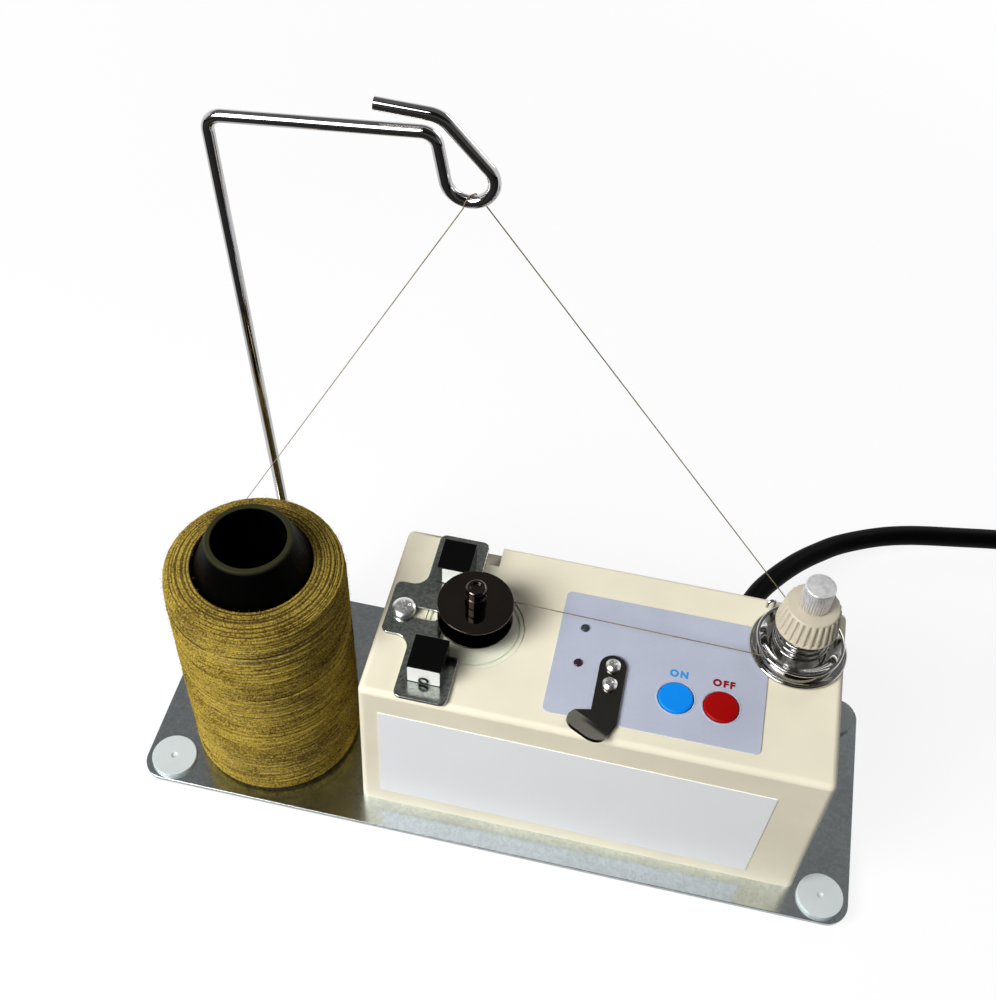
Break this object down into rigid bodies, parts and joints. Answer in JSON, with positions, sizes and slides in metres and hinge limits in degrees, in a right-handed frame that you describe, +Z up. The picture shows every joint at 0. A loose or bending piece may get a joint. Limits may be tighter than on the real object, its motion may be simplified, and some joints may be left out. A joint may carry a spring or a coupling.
{
  "type": "bobbin winder",
  "caption": "Electric bobbin winder: a cream drive housing with spindle, sensor, cutter, push buttons and thread tension beside a thread cone and wire thread stand on a steel base plate.",
  "frame": {"origin": "on the supporting surface, under the middle of the base plate", "axes": "+X along the base plate from the thread cone to the tension unit, +Y to the back, +Z up"},
  "size_m": [0.4273, 0.1599, 0.203],
  "materials": {
    "galvanised_steel": "satin, speckled zinc",
    "bright_steel": "bright plated",
    "chrome_wire": "polished",
    "spring_steel": "polished",
    "black_nickel": "dark mirror",
    "zinc_sheet": "satin, brushed",
    "turned_aluminium": "turned top, knurled side",
    "cream_plastic": "fine texture",
    "white_nylon": "translucent",
    "white_label": "semi-gloss",
    "grey_film": "printed film",
    "blue_plastic": "smooth",
    "red_plastic": "smooth",
    "lamp_plastic": "smooth",
    "window_plastic": "smooth",
    "black_gloss": "gloss",
    "black_plastic": "moulded",
    "board_green": "solder mask",
    "motor_steel": "drawn can",
    "coil_tape": "tape",
    "thread_yarn": "spun thread",
    "cord_rubber": "smooth jacket",
    "tie_fabric": "woven strap"
  },
  "bodies": {
    "frame": {"base_plate": "galvanised_steel", "housing_screws": "bright_steel", "board_screws": "bright_steel", "motor_plate_screws": "bright_steel", "motor_screws": "bright_steel", "bracket_screw": "bright_steel", "cutter_screws": "bright_steel", "tension_stud": "bright_steel", "tension_nut": "bright_steel", "stand_nuts": "bright_steel", "spool_screw": "bright_steel", "transformer_screws": "bright_steel", "plug_blades": "bright_steel", "thread_stand": "chrome_wire", "thread_cutter": "chrome_wire", "lower_tension_disc": "chrome_wire", "upper_tension_disc": "chrome_wire", "thread_hook": "chrome_wire", "tension_spring": "spring_steel", "motor_plate": "zinc_sheet", "tension_cap": "turned_aluminium", "housing_shell": "cream_plastic", "corner_feet": "white_nylon", "spindle_bush": "white_nylon", "front_label": "white_label", "control_overlay": "grey_film", "indicator_lamps": "lamp_plastic", "cone_tube": "black_plastic", "spool_peg": "black_plastic", "cord_gland": "black_plastic", "plug_body": "black_plastic", "tact_switches": "black_plastic", "circuit_board": "board_green", "motor_body": "motor_steel", "transformer_core": "motor_steel", "transformer_coil": "coil_tape", "cone_core": "thread_yarn", "cone_winding": "thread_yarn", "thread_run": "thread_yarn", "power_cord": "cord_rubber", "cord_coil": "cord_rubber", "cord_tail": "cord_rubber", "cord_tie": "tie_fabric"},
    "spindle": {"bobbin_spindle": "black_nickel", "bobbin": "black_nickel"},
    "start_key": {"start_button": "blue_plastic"},
    "stop_key": {"stop_button": "red_plastic"},
    "sensor_carriage": {"sensor_bracket": "zinc_sheet", "front_sensor": "black_gloss", "rear_sensor": "black_gloss", "sensor_windows": "window_plastic"},
    "spring_seat": {"spring_washer": "bright_steel"},
    "knob": {"tension_knob": "cream_plastic"}
  },
  "joints": [
    {"name": "spindle_spin", "type": "hinge", "parent": "frame", "child": "spindle", "pos_m": [-0.0119, -0.0025, 0.0687], "axis": [0, 0, 1], "continuous": true},
    {"name": "start_press", "type": "slide", "parent": "frame", "child": "start_key", "axis": [0, 0, -1], "range_m": [0, 0.0007], "stiffness_N_per_m": 2200},
    {"name": "stop_press", "type": "slide", "parent": "frame", "child": "stop_key", "axis": [0, 0, -1], "range_m": [0, 0.0007], "stiffness_N_per_m": 2200},
    {"name": "sensor_adjust", "type": "slide", "parent": "frame", "child": "sensor_carriage", "axis": [-1, 0, 0], "range_m": [0, 0.008]},
    {"name": "tension_lift", "type": "slide", "parent": "frame", "child": "spring_seat", "axis": [0, 0, -1], "range_m": [0, 0.00225], "deforming": ["tension_spring"]},
    {"name": "knob_turn", "type": "hinge", "parent": "spring_seat", "child": "knob", "pos_m": [0.0748, 0.0108, 0.0768], "axis": [0, 0, -1], "range_deg": [0, 1080.5]}
  ],
  "couplings": [
    {"joint": "knob_turn", "follows": "tension_lift", "rad_per_m": 8377.6}
  ]
}
